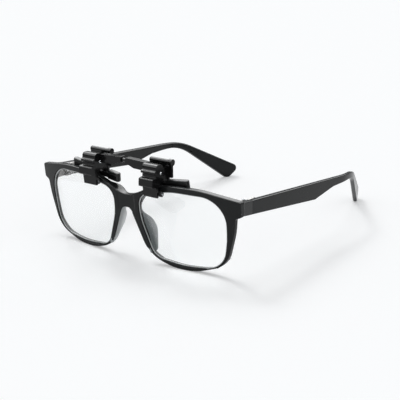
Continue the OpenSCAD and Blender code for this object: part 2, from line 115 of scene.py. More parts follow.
class Plane(Enum):
    """The plane that an outline is drawn in, as the axis that its arcs turn about."""

    FRONT = (0, -1, 0)
    SIDE = (1, 0, 0)

    def point(self, p: Vector) -> Vector:
        """Returns a flat point in this plane."""
        return Vector((p.x, 0, p.y)) if self is Plane.FRONT else Vector((0, p.x, p.y))


@dataclass(frozen=True)
class Corner:
    """A rounded corner of an outline.

    Args:
        u: Place across the outline, in millimetres.
        v: Place up the outline, in millimetres.
        radius: Radius of the corner's arc, in millimetres.
    """

    u: float
    v: float
    radius: float

    @property
    def point(self) -> Vector:
        """Returns the corner's sharp point."""
        return Vector((self.u, self.v))


# ---------------- finishes


def feed(node: bpy.types.Node, inputs: dict) -> None:
    """Sets a node's sockets, and links those that another node feeds.

    Args:
        node: The node.
        inputs: A number, a colour or another node's socket for each input.
    """
    for name, value in inputs.items():
        if isinstance(value, bpy.types.NodeSocket):
            node.id_data.links.new(value, node.inputs[name])
        else:
            node.inputs[name].default_value = value


def add(tree: bpy.types.NodeTree, kind: str, inputs: Optional[dict] = None,
        output: int | str = 0, **settings: str) -> bpy.types.NodeSocket:
    """Adds a shader node and feeds it.

    Args:
        tree: The node tree.
        kind: Kind of the node.
        inputs: A number, a colour or another node's socket for each input.
        output: The output that is wanted.
        settings: The node's own settings.

    Returns:
        The output's socket.
    """
    node = tree.nodes.new(f"ShaderNode{kind}")
    for name, value in settings.items():
        setattr(node, name, value)
    feed(node, inputs or {})
    return node.outputs[output]


def ramp(share: bpy.types.NodeSocket, low: tuple, high: tuple,
         span: tuple = (0.0, 1.0)) -> bpy.types.NodeSocket:
    """Adds a ramp from one colour to another.

    Args:
        share: What the colour follows.
        low: The first linear colour.
        high: The second linear colour.
        span: Where the ramp starts and ends.

    Returns:
        The colour's socket.
    """
    colour = add(share.id_data, "ValToRGB", {"Fac": share})
    for stop, tone, place in zip(colour.node.color_ramp.elements, (low, high), span):
        stop.color = (*tone, 1)
        stop.position = place
    return colour


@dataclass(frozen=True)
class Finish:
    """A finish whose grain, tone and gloss follow the surface's own place.

    Args:
        name: Name of the material.
        colour: Linear colour of the body.
        tint: Linear colour that the body drifts to in places.
        roughness: Middle roughness.
        drift: Half the range that the roughness drifts over.
        grain: Size of the moulded grain, in millimetres.
        bump: Height of the grain, in millimetres.
        metallic: Share of metal.
        specular: Strength of the gloss.
        transmission: Share of light that passes through.
        ior: Index of refraction.
        scatter: Weight of the scattering under the surface.
        cloud: Size of the clouds that the colour drifts in, in millimetres.
        smudge: Size of the smudges that the roughness drifts in, in millimetres.
    """

    name: str
    colour: tuple
    tint: tuple
    roughness: float = 0.35
    drift: float = 0.05
    grain: float = 0.25
    bump: float = 0.004
    metallic: float = 0.0
    specular: float = 0.5
    transmission: float = 0.0
    ior: float = 1.5
    scatter: float = 0.0
    cloud: float = 14.0
    smudge: float = 6.0

    def material(self) -> bpy.types.Material:
        """Builds the material, or gives the one that was built before.

        Returns:
            The material.
        """
        found = bpy.data.materials.get(self.name)
        if found:
            return found
        mat = bpy.data.materials.new(self.name)
        mat.use_nodes = True
        shader = mat.node_tree.nodes["Principled BSDF"]
        place = add(mat.node_tree, "TexCoord", output="Object")
        smudges = add(mat.node_tree, "MapRange", {
            "Value": self._noise(place, self.smudge, 4), "From Min": 0.3, "From Max": 0.7,
            "To Min": max(0.02, self.roughness - self.drift),
            "To Max": self.roughness + self.drift})
        bumps = add(mat.node_tree, "Bump", {
            "Height": self._noise(place, self.grain, 2), "Distance": self.bump * MM,
            "Strength": 0.6})
        feed(shader, {
            "Base Color": self._colour(place), "Roughness": smudges, "Normal": bumps,
            "Metallic": self.metallic, "IOR": self.ior, "Specular IOR Level": self.specular,
            "Transmission Weight": self.transmission})
        if self.scatter:
            feed(shader, {"Subsurface Weight": self.scatter, "Subsurface Scale": 0.002,
                          "Subsurface Radius": (1.0, 1.0, 1.0)})
        self._surface(shader)
        return mat

    def _noise(self, place: bpy.types.NodeSocket, size: float,
               detail: float) -> bpy.types.NodeSocket:
        """Returns a noise on the surface's own place, with a size in millimetres."""
        return add(place.id_data, "TexNoise", {"Vector": place, "Scale": 1 / (size * MM),
                                               "Detail": detail})

    def _colour(self, place: bpy.types.NodeSocket) -> bpy.types.NodeSocket:
        """Returns the body's colour, which drifts in soft clouds."""
        return ramp(self._noise(place, self.cloud, 3), self.colour, self.tint, (0.35, 0.7))

    def _surface(self, shader: bpy.types.Node) -> None:
        """Leaves the shader as it is."""


@dataclass(frozen=True)
class PadFinish(Finish):
    """Frosted silicone, with painted shade that is dim over the black rim and fades towards its
    free edge, and painted light on the sides that face the nose.

    Args:
        root: Depth where the painted shade is darkest, in metres.
        tip: Depth where the painted shade has faded and the pad is palest, in metres.
        turned: Place across, in metres, where painted light on a side facing the nose is palest.
    """

    root: float = 0.0
    tip: float = 0.01
    turned: float = 0.004

    def _colour(self, place: bpy.types.NodeSocket) -> bpy.types.NodeSocket:
        """Paints shade fading from the root to the free edge, and light on sides facing the
        nose.

        Args:
            place: The coordinates.

        Returns:
            The colour's socket.
        """
        tree = place.id_data
        across = add(tree, "SeparateXYZ", {"Vector": place}, "X")
        facing = add(tree, "SeparateXYZ", {"Vector": place.node.outputs["Normal"]}, "X")
        outward = add(tree, "Math", {0: across, 1: facing}, operation="MULTIPLY")
        # One share paints shade along the depth, the other paints light on sides facing the
        # nose.
        painted_light_shares = [add(tree, "MapRange", {"Value": value, "From Min": low, "From Max": high,
                                         "To Max": 0.5})
                  for value, low, high in ((across.node.outputs["Y"], self.root, self.tip),
                                           (outward, self.turned, -self.turned))]
        both = add(tree, "Math", dict(enumerate(painted_light_shares)))
        return ramp(both, self.colour, self.tint)


@dataclass(frozen=True)
class LensFinish(Finish):
    """Clear plastic that lets lamps through, with the faint haze of handling.

    Args:
        straight: Share of the light that goes straight through.
        clear: Linear colour that this light takes on.
    """

    straight: float = 0.93
    clear: tuple = (0.985, 0.99, 0.99, 1)

    def _surface(self, shader: bpy.types.Node) -> None:
        """Mixes the shader with clear glass, which alone is there for shadows.

        Args:
            shader: The principled shader.
        """
        tree = shader.id_data
        share = add(tree, "MapRange", {"Value": add(tree, "LightPath", output="Is Shadow Ray"),
                                       "To Min": self.straight})
        clear = add(tree, "BsdfTransparent", {"Color": self.clear})
        mixed = add(tree, "MixShader", {0: share, 1: shader.outputs["BSDF"], 2: clear})
        feed(tree.nodes["Material Output"], {"Surface": mixed})


FRAME_BLACK = Finish("frame_black", (0.0130, 0.0142, 0.0144), (0.0162, 0.0176, 0.0180), 0.20,
                     0.05, specular=0.15)
CLAMP_BLACK = Finish("clamp_black", (0.0062, 0.0062, 0.0064), (0.0085, 0.0085, 0.0087), 0.15,
                     0.03, 0.4, 0.006, specular=0.2)
RUBBER = Finish("black_rubber", (0.0090, 0.0098, 0.0100), (0.012, 0.0128, 0.0130), 0.36, 0.08,
                0.3, 0.010, specular=0.3)
STEEL = Finish("steel_bright", (0.62, 0.63, 0.65), (0.55, 0.56, 0.58), 0.2, 0.06, 0.12, 0.003,
               metallic=1.0)
HINGE_STEEL = Finish("hinge_nickel", (0.34, 0.33, 0.32), (0.27, 0.265, 0.26), 0.34, 0.07, 0.15,
                     0.003, metallic=1.0)
# Dim end is painted shade over the rim, pale end painted light towards the nose.
PAD_PAINTED_LIGHT = PadFinish("pad_silicone", (0.13, 0.15, 0.155), (0.84, 0.86, 0.86), 0.34, 0.05, 0.5,
                      0.003, specular=0.35, ior=1.41, scatter=0.75, root=-0.0775, tip=-0.0705)
LENS = LensFinish("clear_glazing", (1.0, 1.0, 1.0), (0.99, 0.995, 1.0), 0.02, 0.015, 20, 0.0004,
                  transmission=1.0, ior=1.49, specular=0.2)
# A pale ring that is partly a lens's ground edge and partly a painted highlight along it.
LENS_BEVEL_AND_HIGHLIGHT = Finish("lens_bevel", (0.52, 0.54, 0.54), (0.60, 0.62, 0.62), 0.4, 0.08, 0.2, 0.004)


# ---------------- modelling


def only(geom: Iterable, kind: type) -> list:
    """Returns the elements of one kind."""
    return [g for g in geom if isinstance(g, kind)]


def placed(name: str, data: bpy.types.ID) -> bpy.types.Object:
    """Adds an object to the scene.

    Args:
        name: The object's name.
        data: Its mesh, lamp or camera.

    Returns:
        The object.
    """
    obj = bpy.data.objects.new(name, data)
    bpy.context.scene.collection.objects.link(obj)
    return obj


@dataclass(frozen=True)
class Outline:
    """A closed outline of rounded corners, drawn with spun points.

    Args:
        corners: The corners in order, anticlockwise.
        steps: Most steps of a corner's arc.
        plane: The plane that the outline is drawn in.
    """

    corners: Sequence[Corner]
    steps: int
    plane: Plane = Plane.FRONT

    def draw(self, bm: bmesh.types.BMesh) -> None:
        """Spins every corner's arc and joins the arcs with straight edges.

        Args:
            bm: The mesh to draw in.
        """
        count = len(self.corners)
        ends = []
        for i, corner in enumerate(self.corners):
            before = (self.corners[i - 1].point - corner.point).normalized()
            after = (self.corners[(i + 1) % count].point - corner.point).normalized()
            half = math.acos(max(-1.0, min(1.0, before.dot(after)))) / 2
            radius = max(corner.radius, LEAST_RADIUS)
            centre = corner.point + (before + after).normalized() * radius / math.sin(half)
            start = corner.point + before * radius / math.tan(half)
            turn = math.copysign(math.pi - 2 * half, -before.cross(after))
            steps = max(2, min(self.steps, round(abs(math.degrees(turn)) / ARC_STEP)))
            vert = bm.verts.new(self.plane.point(start))
            spun = bmesh.ops.spin(bm, geom=[vert], cent=self.plane.point(centre),
                                  axis=self.plane.value, dvec=(0, 0, 0), angle=turn,
                                  steps=steps, use_duplicate=False)
            ends.append((vert, only(spun["geom_last"], bmesh.types.BMVert)[0]))
        for i, (_, last) in enumerate(ends):
            bm.edges.new((last, ends[(i + 1) % count][0]))


class Shaper:
    """Turns flat outlines into a piece by extruding, bevelling and bending them."""

    def __init__(self, *outlines: Outline, bm: Optional[bmesh.types.BMesh] = None) -> None:
        """Draws the outlines and fills the area between them, or goes on from a mesh.

        Args:
            outlines: The outer outline, and any openings.
            bm: The mesh, where there are no outlines.
        """
        self.bm = bm or bmesh.new()
        for outline in outlines:
            outline.draw(self.bm)
        if outlines:
            bmesh.ops.remove_doubles(self.bm, verts=self.bm.verts[:], dist=SAME)
            bmesh.ops.triangle_fill(self.bm, use_beauty=True, use_dissolve=False,
                                    edges=[e for e in self.bm.edges if e.is_wire])

    def _section(self, place: Vector, across: Vector, **wanted: bool) -> list:
        """Cuts the mesh along a plane.

        Args:
            place: A point of the plane.
            across: The direction that the plane stands across.
            wanted: Which side of the plane is cleared.

        Returns:
            The edges in the plane.
        """
        geom = self.bm.verts[:] + self.bm.edges[:] + self.bm.faces[:]
        made = bmesh.ops.bisect_plane(self.bm, geom=geom, dist=1e-5, plane_co=place,
                                      plane_no=across, **wanted)
        return only(made["geom_cut"], bmesh.types.BMEdge)

    def slices(self, axis: Vector, places: Iterable[float]) -> None:
        """Cuts the mesh across an axis at some places along it, so that it can bend there."""
        for place in places:
            self._section(axis * place, axis)

    def cut(self, place: Vector, outward: Vector) -> None:
        """Cuts the piece off flat at a place and closes the cut, which faces outward."""
        rim = self._section(place, outward, clear_outer=True)
        bmesh.ops.holes_fill(self.bm, edges=rim, sides=0)

    def move(self, way: Vector) -> None:
        """Moves the whole mesh."""
        bmesh.ops.translate(self.bm, verts=self.bm.verts[:], vec=way)

    def stand(self, matrix: Matrix) -> None:
        """Sets the whole mesh where a matrix puts it."""
        bmesh.ops.transform(self.bm, matrix=matrix, verts=self.bm.verts[:])

    def bend(self, rule: Callable[[Vector], Vector]) -> None:
        """Moves every point to where a rule puts it."""
        for vert in self.bm.verts:
            vert.co = rule(vert.co)

    def face_out(self) -> None:
        """Turns all faces outwards."""
        bmesh.ops.recalc_face_normals(self.bm, faces=self.bm.faces[:])

    def set_on(self, side: Side) -> None:
        """Turns a mesh of the positive side over to its own side, and its faces outwards."""
        if side is Side.LEFT:
            bmesh.ops.scale(self.bm, verts=self.bm.verts[:], vec=(-1, 1, 1))
        self.face_out()

    def thicken(self, way: Vector) -> None:
        """Extrudes the flat area into a closed slab.

        Args:
            way: The slab's depth as a vector.
        """
        made = bmesh.ops.extrude_face_region(self.bm, geom=self.bm.faces[:],
                                             use_keep_orig=True)
        bmesh.ops.translate(self.bm, verts=only(made["geom"], bmesh.types.BMVert), vec=way)
        self.face_out()

    def cushion(self, depth: float, front: float, back: float, axis: Vector = BACK,
                steps: int = 4) -> None:
        """Thickens the flat area along an axis and rounds its edges on both faces.

        Args:
            depth: The whole depth, in millimetres.
            front: Radius of the edges on the first face.
            back: Radius of the edges on the second face.
            axis: The way to thicken.
            steps: Steps of each rounding.
        """
        self.thicken(axis * (depth - front - back))
        self.move(axis * front)
        for sign, radius, level in ((-1, front, front), (1, back, depth - back)):
            cap = [f for f in self.bm.faces
                   if all(abs(v.co.dot(axis) - level) < SAME for v in f.verts)]
            for step in range(steps):
                a, b = (math.pi / 2 * k / steps for k in (step, step + 1))
                bmesh.ops.inset_region(self.bm, faces=cap, use_boundary=True,
                                       use_even_offset=True,
                                       thickness=radius * (math.cos(a) - math.cos(b)))
                bmesh.ops.translate(self.bm, verts=list({v for f in cap for v in f.verts}),
                                    vec=axis * (sign * radius * (math.sin(b) - math.sin(a))))

    def ring(self, width: float) -> None:
        """Keeps only a band along the edge of the flat area.

        Args:
            width: Width of the band, in millimetres.
        """
        inner = self.bm.faces[:]
        bmesh.ops.inset_region(self.bm, faces=inner, use_boundary=True, use_even_offset=True,
                               thickness=width)
        bmesh.ops.delete(self.bm, geom=inner, context="FACES")

    def soften(self, width: float, segments: int, angle: float,
               where: Callable[[Vector], bool] = lambda middle: True,
               clamp: bool = False) -> None:
        """Rounds the sharp edges.

        Args:
            width: Width of the rounding, in the mesh's own unit.
            segments: Steps of the rounding.
            angle: Least angle of a sharp edge, in degrees.
            where: Tells from an edge's middle whether it is rounded.
            clamp: Whether the rounding stops where it would overlap.
        """
        sharp = [e for e in self.bm.edges
                 if len(e.link_faces) == 2 and e.calc_face_angle(0) > math.radians(angle)
                 and where((e.verts[0].co + e.verts[1].co) / 2)]
        bmesh.ops.bevel(self.bm, geom=sharp, offset=width, segments=segments, profile=0.5,
                        affect="EDGES", material=-1, clamp_overlap=clamp, loop_slide=True)

    def join(self, other: "Shaper") -> None:
        """Takes another shaper's mesh in.

        Args:
            other: The other shaper, whose mesh is freed.
        """
        held = bpy.data.meshes.new("held")
        other.bm.to_mesh(held)
        other.bm.free()
        self.bm.from_mesh(held)
        bpy.data.meshes.remove(held)

    def piece(self, name: str, finish: Finish, body: str, nodes: Sequence[str],
              smooth: float = 35, scaled: bool = False) -> None:
        """Makes the mesh a piece that rides on a body, and frees it.

        Args:
            name: The piece's name.
            finish: Its finish.
            body: The body that it rides on.
            nodes: The nodes that it stands for.
            smooth: Greatest angle that is shaded smooth, in degrees.
            scaled: Whether the mesh is in metres and in its place already.
        """
        if not scaled:
            self.move((0, STAND_Y, 0))
            bmesh.ops.scale(self.bm, verts=self.bm.verts[:], vec=(MM, MM, MM))
        for face in self.bm.faces:
            face.smooth = True
        for edge in self.bm.edges:
            edge.smooth = (len(edge.link_faces) == 2
                           and edge.calc_face_angle(0) < math.radians(smooth))
        mesh = bpy.data.meshes.new(name)
        self.bm.to_mesh(mesh)
        self.bm.free()
        mesh.materials.append(finish.material())
        obj = placed(name, mesh)
        even = obj.modifiers.new("even_shading", "WEIGHTED_NORMAL")
        even.keep_sharp = True
        even.weight = 80
        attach(obj, body)
        if nodes:
            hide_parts(*nodes)
        log.info("%s: %d faces on %s", name, len(mesh.polygons), body)


@dataclass(frozen=True)
class Rounding:
    """How a solid becomes a piece with rounded edges.

    Args:
        node: The node's name, without its side.
        name: The piece's name, without its side.
        finish: The piece's finish.
        slot: The name of a material slot; not used.
        width: Width of the rounding, in millimetres.
        segments: Steps of the rounding.
    """

    node: str
    name: str
    finish: Finish
    slot: str
    width: float
    segments: int


class Workbench:
    """Knows the loaded solids and dresses or copies them."""

    def __init__(self, frame: dict) -> None:
        """Keeps the nodes of the frame that was loaded."""
        self.nodes = frame["nodes"]

    def body_of(self, node: str) -> str:
        """Returns the body that a node rides on."""
        return self.nodes[node]["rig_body"]

    def dress(self, node: str, finish: Finish) -> None:
        """Gives a solid that stays its finish.

        Args:
            node: The node's name.
            finish: The finish.
        """
        materials = self.nodes[node].data.materials
        materials.clear()
        materials.append(finish.material())
        log.info("%s keeps its solid", node)

    def rounded_copy(self, part: Rounding, side: Optional[Side] = None) -> None:
        """Makes a piece of a node's solid with its edges rounded.

        Args:
            part: How to round it.
            side: The side it is on, unless it is in the middle.
        """
        end = f"_{side.tag}" if side else ""
        node = part.node + end
        bm = bmesh.new()
        bm.from_mesh(self.nodes[node].data)
        bmesh.ops.remove_doubles(bm, verts=bm.verts[:], dist=2e-6)
        bmesh.ops.dissolve_limit(bm, angle_limit=math.radians(2), use_dissolve_boundaries=False,
                                 verts=bm.verts[:], edges=bm.edges[:])
        copy = Shaper(bm=bm)
        copy.soften(part.width * MM, part.segments, 40, clamp=True)
        copy.piece(part.name + end, part.finish, self.body_of(node), [node],
                   scaled=True)


# ---------------- the spectacles


@dataclass(frozen=True)
class FrontSizes:
    """Sizes of the front, in millimetres.

    Args:
        lens_w: Width of a lens opening.
        lens_h: Height of a lens opening.
        bridge_w: Distance between the openings.
        rim_depth: Depth of the rim.
        rim_low: Height of the rim under the lens.
        rim_top: Height of the rim over the lens.
        rim_nose: Width of the rim beside the nose.
        wrap_r: Radius of the wrap.
        lean: Forward lean in degrees.
        corner_x: Half the width over the corners.
        saddle_z: Height of the saddle's top.
        arch_z: Height of the arch over the nose.
        arch_w: Width of the arch.
        temple_top: Height of the top edge at the joint.
        temple_low: Height of the low edge at the joint.
        end_y: Distance back to the end of the end piece.
        end_x: Half the width at the joint.
        inner_x: Half the width inside the temples.
    """

    lens_w: float = 51.8
    lens_h: float = 40.4
    bridge_w: float = 17.8
    rim_depth: float = 3.2
    rim_low: float = 2.5
    rim_top: float = 3.3
    rim_nose: float = 3.7
    wrap_r: float = 295.0
    lean: float = 5.7
    corner_x: float = 69.0
    saddle_z: float = 36.8
    arch_z: float = 29.6
    arch_w: float = 5.8
    temple_top: float = 40.4
    temple_low: float = 32.7
    end_y: float = 16.8
    end_x: float = 67.8
    inner_x: float = 64.3

    @property
    def x0(self) -> float:
        """Returns the inner edge of the opening."""
        return self.bridge_w / 2

    @property
    def x1(self) -> float:
        """Returns the outer edge of the opening."""
        return self.x0 + self.lens_w

    @property
    def z1(self) -> float:
        """Returns the top of the opening."""
        return self.rim_low + self.lens_h

    @property
    def nose_x(self) -> float:
        """Returns the place of the opening's low corner beside the nose."""
        return self.x0 + 0.143 * self.lens_w

    @property
    def foot(self) -> Vector:
        """Returns the rim's low corner beside the nose, as place across and height."""
        return Vector((self.nose_x + 0.3 - self.rim_nose, self.rim_low + 2.4))

    def face_y(self, x: float, z: float, deep: float = 0.0) -> float:
        """Gives how far a place on the curved and leaning front lies behind the front plane.

        Args:
            x: Place across.
            z: Height.
            deep: Depth behind the front face.

        Returns:
            The distance in millimetres.
        """
        bowl = self.wrap_r - math.sqrt((self.wrap_r - deep) ** 2 - x * x)
        lean = math.radians(self.lean)
        return bowl / math.cos(lean) - z * math.tan(lean)


def smooth_step(low: float, high: float, value: float) -> float:
    """Gives how far a value has gone from one bound to the other, eased at both.

    Args:
        low: The bound that gives 0.
        high: The bound that gives 1.
        value: The value.

    Returns:
        A share from 0 to 1.
    """
    share = min(1.0, max(0.0, (value - low) / (high - low)))
    return share * share * (3 - 2 * share)


@dataclass
class Front:
    """The moulded front with its two end pieces, and the lenses.

    Args:
        bench: The workbench.
        sizes: The front's sizes.
        front_edge: Radius of the rim's edges in front.
        back_edge: Radius of the rim's edges behind.
        bevel_w: Width of a lens's ground edge.
        bevel_t: Thickness of a lens's ground edge.
        bevel_y: Depth of a lens's ground edge behind the rim's face.
        flare: Share by which the bridge is deeper than the rim.
        flare_z: Between which heights that share grows.
        flare_in: Between which places across it grows from its share in the middle.
        flare_out: Between which places across it ends.
        flare_mid: What is left of it in the middle.
        recess: Depth by which the bridge's face is sunk.
        recess_z: Between which heights that depth grows.
        recess_x: Between which places across it grows.
        recess_y: Between which depths behind the face it grows.
        shoe: Thickness of the shoes under the pads.
        lug_start: Distance back to the start of an end piece.
        lug_edge: Radius of an end piece's long edges.
        lug_low: How far its low edge is over the temple's at its start and end.
        lug_top: How far its top edge is over the temple's at its start and end.
        wrap_cuts: Where the front is cut across, so that it can bend.
        bridge_cuts: Where the bridge is cut across as well, on both sides.
        saddle_cuts: Heights at which the bridge is cut, so that it can flare.
    """

    bench: Workbench
    sizes: FrontSizes = FrontSizes()
    front_edge: float = 0.45
    back_edge: float = 0.95
    bevel_w: float = 0.34
    bevel_t: float = 0.3
    bevel_y: float = 0.58
    flare: float = 1.3
    flare_z: tuple = (31.0, 38.0)
    flare_in: tuple = (0.0, 8.0)
    flare_out: tuple = (13.5, 9.0)
    flare_mid: float = 0.25
    recess: float = 0.25
    recess_z: tuple = (26.5, 29.0)
    recess_x: tuple = (6.3, 5.5)
    recess_y: tuple = (2.0, 0.6)
    shoe: float = 0.25
    lug_start: float = 4.4
    lug_edge: float = 0.45
    lug_low: tuple = (2.2, 0.1)
    lug_top: tuple = (1.8, 0.0)
    wrap_cuts: tuple = tuple(3.0 * i for i in range(-22, 23))
    bridge_cuts: tuple = (1.5, 4.5, 5.5, 6.3, 7.5, 10.5)
    saddle_cuts: tuple = (27, 28, 29, 31, 33, 35, 37, 39)

    def lens_corners(self) -> list:
        """Returns the corners of the opening on the positive side."""
        s = self.sizes
        return [
            Corner(s.nose_x, s.rim_low + 0.04 * s.lens_h, 0.17 * s.lens_w),
            Corner(s.x0 + 0.51 * s.lens_w, s.rim_low - 0.4, 1.1 * s.lens_w),
            Corner(s.x1 - 2.9, s.rim_low + 0.04 * s.lens_h, 0.24 * s.lens_w),
            Corner(s.x1, s.rim_low + 0.44 * s.lens_h, 50),
            Corner(s.x1 + 0.5, s.z1 - 0.1, 0.35 * s.lens_h),
            Corner(s.x0 + 0.4 * s.lens_w, s.z1 + 0.2, 0.8 * s.lens_w),
            Corner(s.x0 - 0.3, s.rim_low + 0.893 * s.lens_h, 0.2 * s.lens_h),
            Corner(s.x0 - 0.1, s.rim_low + 0.556 * s.lens_h, 0.74 * s.lens_h),
        ]

    def half_corners(self) -> list:
        """Returns the corners of the outer edge on the positive side."""
        s = self.sizes
        return [
            Corner(s.arch_w / 2, s.arch_z, 3.2),
            Corner(*s.foot, 0.35 * s.lens_w),
            Corner(s.x0 + 0.5 * s.lens_w, -2.45, 0.74 * s.lens_w),
            Corner(s.x1 - 1.1, s.rim_low + 3.5, 14),
            Corner(s.x1 + 4.1, s.rim_low + 22.5, 40),
            Corner(s.x1 + 5, s.temple_low + 0.3, 1.6),
            Corner(s.corner_x, s.temple_low + 1.7, 1.2),
            Corner(s.corner_x, s.temple_top + 2.1, 1.5),
            Corner(s.x1 - 14.5, s.z1 + s.rim_top, 60),
            Corner(s.x0 + 15.2, s.z1 + s.rim_top - 0.2, 28),
            Corner(s.x0 + 3.6, s.z1 - 1.4, 10),
        ]

    @staticmethod
    def mirrored(corners: Sequence[Corner]) -> list:
        """Returns corners turned over the middle, still anticlockwise."""
        return [Corner(-c.u, c.v, c.radius) for c in reversed(corners)]

    def build(self) -> dict:
        """Builds the moulded front and dresses the lenses.

        Returns:
            The shoe of each side's nose pad.
        """
        s = self.sizes
        half, lens = self.half_corners(), self.lens_corners()
        outer = half + [Corner(0, s.saddle_z - 1.4, 16)] + self.mirrored(half)
        shaper = Shaper(Outline(outer, 10), Outline(lens, 12), Outline(self.mirrored(lens), 12))
        shaper.cushion(s.rim_depth, self.front_edge, self.back_edge)
        shaper.slices(ACROSS, self.wrap_cuts)
        shaper.slices(ACROSS, [side.value * x for side in Side for x in self.bridge_cuts])
        shaper.slices(UP, self.saddle_cuts)
        shaper.bend(self._saddle)
        shaper.bend(lambda p: Vector((p.x, s.face_y(p.x, p.z, p.y), max(p.z, 0.0))))
        shoes = {side: self._nose_wall(shaper, side) for side in Side}
        for side in Side:
            shaper.join(self._end_piece(side))
        shaper.piece("front_moulding", FRAME_BLACK, "spectacles", ["frame_front"])
        for side in Side:
            self.bench.dress(f"lens_{side.tag}", LENS)
            self._lens_bevel(side)
        return shoes

    def _saddle(self, p: Vector) -> Vector:
        """Deepens the bridge towards its back and sets its face back a little.

        Args:
            p: A point of the front before it is bent.

        Returns:
            Its new place.
        """
        out = smooth_step(*self.flare_in, abs(p.x)) * smooth_step(*self.flare_out, abs(p.x))
        flare = self.flare * smooth_step(*self.flare_z, p.z)
        deep = 1 + flare * (self.flare_mid + (1 - self.flare_mid) * out)
        sunk = (self.recess * smooth_step(*self.recess_z, p.z)
                * smooth_step(*self.recess_x, abs(p.x)) * smooth_step(*self.recess_y, p.y))
        return Vector((p.x, p.y * deep + sunk, p.z))

    def _nose_wall(self, shaper: Shaper, side: Side) -> Shaper:
        """Copies the rim's wall beside the nose as a thin shoe for the pad.

        Args:
            shaper: The front's shaper.
            side: The side the wall is on.

        Returns:
            The shoe's shaper.
        """
        s = self.sizes
        shoe = Shaper(bm=shaper.bm.copy())
        slope = (s.foot.x - s.arch_w / 2) / (s.arch_z - s.foot.y)
        least_x, least_z, slack = 0.8, 6.5, 0.7
        least_aside, most_ahead = 0.35, 0.6  # Shares of a face's normal.

        def beside(face: bmesh.types.BMFace) -> bool:
            """Tells whether a face belongs to the wall.

            Args:
                face: A face of the front.

            Returns:
                Whether it does.
            """
            at = face.calc_center_median()
            line = s.arch_w / 2 + (s.arch_z - at.z) * slope
            return (least_x < at.x * side.value < line + slack
                    and least_z < at.z < s.arch_z + 0.1
                    and face.normal.x * -side.value > least_aside
                    and abs(face.normal.y) < most_ahead)

        apart = [face for face in shoe.bm.faces if not beside(face)]
        bmesh.ops.delete(shoe.bm, geom=apart, context="FACES")
        bmesh.ops.solidify(shoe.bm, geom=shoe.bm.faces[:], thickness=-self.shoe)
        shoe.face_out()
        return shoe

    def _lens_bevel(self, side: Side) -> None:
        """Builds the ground edge of a lens as a pale ring, partly the edge itself and partly a
        painted highlight for the fine light line that it catches in the rim.

        Args:
            side: The side it is on.
        """
        corners = self.lens_corners()
        shaper = Shaper(Outline(corners if side is Side.RIGHT else self.mirrored(corners), 12))
        shaper.ring(self.bevel_w)
        shaper.thicken(BACK * self.bevel_t)
        shaper.slices(ACROSS, self.wrap_cuts)
        shaper.bend(lambda p: Vector((p.x, self.sizes.face_y(p.x, p.z, p.y + self.bevel_y),
                                      p.z)))
        shaper.piece(f"lens_bevel_{side.tag}", LENS_BEVEL_AND_HIGHLIGHT, "spectacles", [])

    def _end_piece(self, side: Side) -> Shaper:
        """Builds the lug that reaches back from the corner to the temple's joint.

        Args:
            side: The side it is on.

        Returns:
            The lug's shaper.
        """
        s = self.sizes
        tall = 8.0
        past = s.end_y + 1.2  # The lug is cut off at the joint afterwards.
        lug = Shaper(Outline([
            Corner(s.inner_x - 2.3, 4.6, 0.6), Corner(s.corner_x + 0.03, 5.1, 0.7),
            Corner(s.end_x, past, 0.6), Corner(s.inner_x, past, 0.6),
            Corner(s.inner_x, 7.8, 1.2), Corner(s.inner_x - 2.3, 6.4, 0.6),
        ], 6))
        lug.cushion(tall, self.lug_edge, self.lug_edge)

        def upright(p: Vector) -> Vector:
            """Sets a point of the plan outline upright between the two edges.

            Args:
                p: The point.

            Returns:
                Its new place.
            """
            along = (p.z - self.lug_start) / (s.end_y - self.lug_start)
            low, top = (a + (b - a) * along for a, b in (self.lug_low, self.lug_top))
            bottom, upper = s.temple_low + low, s.temple_top + top
            return Vector((p.x, p.z, upper + (bottom - upper) * p.y / tall))

        lug.bend(upright)
        lug.cut(BACK * s.end_y, BACK)
        lug.set_on(side)
        return lug


@dataclass
class NosePads:
    """The two fin-shaped pads behind the rim's nose sides.

    Args:
        sizes: The front's sizes.
        thick: Thickness of a pad.
        lean: Outward lean of a pad in degrees.
        length: Length of a pad along the rim.
        reach: Reach of a pad behind the rim.
        edge: Radius of a pad's edges.
        root: How far a pad goes into the rim.
    """

    sizes: FrontSizes = FrontSizes()
    thick: float = 2.3
    lean: float = 14.0
    length: float = 25.5
    reach: float = 7.6
    edge: float = 0.9
    root: float = 1.2

    def corners(self) -> list:
        """Returns the corners of a pad's side, as reach from its root and place along it."""
        half, reach, root = self.length / 2, self.reach, -self.root
        return [
            Corner(root, -0.96 * half, 0.8), Corner(0.47 * reach, -0.91 * half, 2.5),
            Corner(1.05 * reach, -0.01 * half, 8), Corner(0.88 * reach, 0.44 * half, 5),
            Corner(0.34 * reach, 0.80 * half, 4), Corner(0.26 * reach, 1.02 * half, 0.8),
            Corner(root, 1.04 * half, 0.8),
        ]

    def stand(self) -> Matrix:
        """Gives how a pad of the positive side stands on the rim's back.

        Returns:
            The pad's matrix.
        """
        s = self.sizes
        low = Vector((s.nose_x - 1.4, s.rim_low + 3.1))
        high = Vector((s.arch_w / 2 + 2.2, s.arch_z - 1.2))
        middle = (low + high) / 2
        tilt = math.atan2(low.x - high.x, high.y - low.y)
        back = s.face_y(middle.x, middle.y, s.rim_depth)
        return (Matrix.Translation((middle.x, back - 1, middle.y))
                @ Matrix.Rotation(-tilt, 4, "Y")
                @ Matrix.Rotation(-math.radians(self.lean), 4, "Z"))

    def build(self, shoes: dict) -> None:
        """Builds both pads.

        Args:
            shoes: The thin shoe of each pad, over the rim's wall.
        """
        for side in Side:
            shaper = Shaper(Outline(self.corners(), 10, Plane.SIDE))
            shaper.cushion(self.thick, self.edge, self.edge, ACROSS, 5)
            shaper.move((-self.thick / 2, 0, 0))
            shaper.stand(self.stand())
            shaper.set_on(side)
            shaper.join(shoes[side])
            shaper.piece(f"pad_{side.tag}", PAD_PAINTED_LIGHT, "spectacles", [f"nose_pad_{side.tag}"],
                         50)


